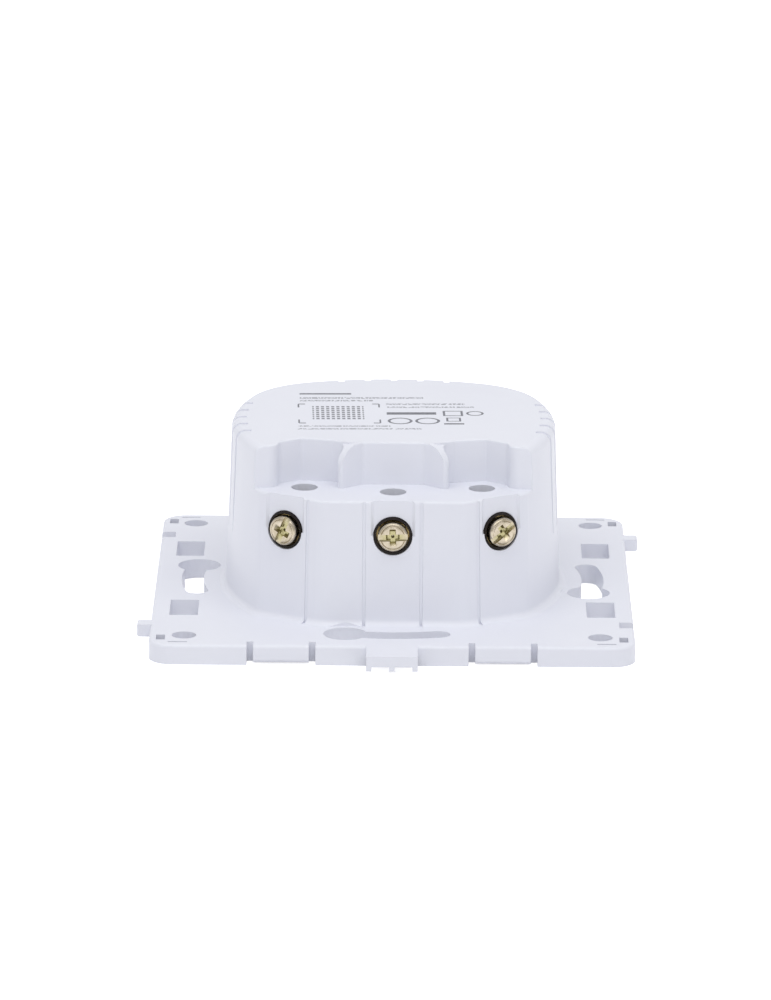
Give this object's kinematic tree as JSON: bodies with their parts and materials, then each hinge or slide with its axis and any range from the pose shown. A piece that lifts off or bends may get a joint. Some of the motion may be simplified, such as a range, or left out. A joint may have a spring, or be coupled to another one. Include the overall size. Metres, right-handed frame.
{
  "type": "smart light switch module",
  "caption": "Flush-mounted smart light switch relay module: square frame with keyholes, cup with three screw clamps.",
  "frame": {"origin": "middle of the four corner holes, on the frame's wall face", "axes": "+Z out of the module's back into the wall box, +X to the right, +Y away from the screw clamps"},
  "size_m": [0.075, 0.0765, 0.0281],
  "materials": {
    "frame_plastic": "white moulded plastic, fine matte",
    "housing_plastic": "white moulded plastic, fine matte",
    "cover_plastic": "white moulded plastic, matte",
    "screw_brass": "yellow zinc plating on steel, bright",
    "clamp_brass": "bare brass",
    "clamp_plastic": "black heat-proof plastic",
    "steel": "zinc plated steel",
    "board_green": "solder mask over glass fibre",
    "black_plastic": "black moulded plastic",
    "contact_gold": "gold flashed contacts",
    "clear_plastic": "clear polycarbonate",
    "led_body": "white package with a yellow lens",
    "relay_blue": "blue moulded case",
    "bobbin_white": "natural moulded plastic",
    "copper_wire": "enamelled copper wire",
    "core_iron": "soft iron, plated",
    "film_box": "yellow box",
    "can_black": "aluminium can in a dark sleeve",
    "ferrite": "ferrite",
    "disc_blue": "blue dipped disc",
    "fuse_brown": "brown moulded cap"
  },
  "bodies": {
    "module": {"mounting_frame": "frame_plastic", "rear_housing": "housing_plastic", "front_cover": "cover_plastic", "housing_screws": "steel", "light_guide": "clear_plastic", "status_leds": "led_body", "control_board": "board_green", "panel_socket": "black_plastic", "panel_contacts": "contact_gold", "board_header": "black_plastic", "header_pins": "contact_gold", "radio_module": "board_green", "radio_shield": "steel", "antenna": "steel", "microcontroller": "black_plastic", "power_board": "board_green", "board_screws": "steel", "relay_base": "black_plastic", "relay_case": "relay_blue", "relay_yoke": "core_iron", "relay_core": "core_iron", "relay_bobbin": "bobbin_white", "relay_winding": "copper_wire", "relay_fixed_contacts": "clamp_brass", "film_capacitor": "film_box", "bulk_capacitor": "can_black", "choke_core": "ferrite", "choke_winding": "copper_wire", "varistor": "disc_blue", "fuse": "fuse_brown", "bridge_rectifier": "black_plastic", "supply_regulator": "black_plastic", "terminal_body_1": "clamp_plastic", "terminal_cage_1": "clamp_brass", "busbar_1": "clamp_brass", "terminal_body_2": "clamp_plastic", "terminal_cage_2": "clamp_brass", "busbar_2": "clamp_brass", "terminal_body_3": "clamp_plastic", "terminal_cage_3": "clamp_brass", "busbar_3": "clamp_brass"},
    "relay_tongue": {"relay_armature": "core_iron", "relay_moving_contact": "clamp_brass"},
    "clamp_1": {"pressure_plate_1": "steel"},
    "screw_1": {"terminal_screw_1": "screw_brass"},
    "clamp_2": {"pressure_plate_2": "steel"},
    "screw_2": {"terminal_screw_2": "screw_brass"},
    "clamp_3": {"pressure_plate_3": "steel"},
    "screw_3": {"terminal_screw_3": "screw_brass"}
  },
  "joints": [
    {"name": "clamp_1_slide", "type": "slide", "parent": "module", "child": "clamp_1", "axis": [-0.5, -0.866, 0], "range_m": [-0.0019, 0.0006]},
    {"name": "screw_1_turn", "type": "hinge", "parent": "clamp_1", "child": "screw_1", "pos_m": [-0.01305, -0.01652, 0.0135], "axis": [-0.5, -0.866, 0], "range_deg": [-1370, 434]},
    {"name": "clamp_2_slide", "type": "slide", "parent": "module", "child": "clamp_2", "axis": [0, -1, 0], "range_m": [-0.0019, 0.0006]},
    {"name": "screw_2_turn", "type": "hinge", "parent": "clamp_2", "child": "screw_2", "pos_m": [0, -0.01883, 0.0135], "axis": [0, -1, 0], "range_deg": [-1370, 434]},
    {"name": "clamp_3_slide", "type": "slide", "parent": "module", "child": "clamp_3", "axis": [0.5, -0.866, 0], "range_m": [-0.0019, 0.0006]},
    {"name": "screw_3_turn", "type": "hinge", "parent": "clamp_3", "child": "screw_3", "pos_m": [0.01305, -0.01652, 0.0135], "axis": [0.5, -0.866, 0], "range_deg": [-1370, 434]},
    {"name": "relay_pull_in", "type": "hinge", "parent": "module", "child": "relay_tongue", "pos_m": [-0.0009, 0.0047, 0.018], "axis": [0, -1, 0], "range_deg": [0, 2.4], "stiffness_Nm_per_rad": 0.005, "springref_deg": -11.46}
  ],
  "couplings": [
    {"joint": "screw_1_turn", "follows": "clamp_1_slide", "rad_per_m": 12566},
    {"joint": "screw_2_turn", "follows": "clamp_2_slide", "rad_per_m": 12566},
    {"joint": "screw_3_turn", "follows": "clamp_3_slide", "rad_per_m": 12566}
  ]
}
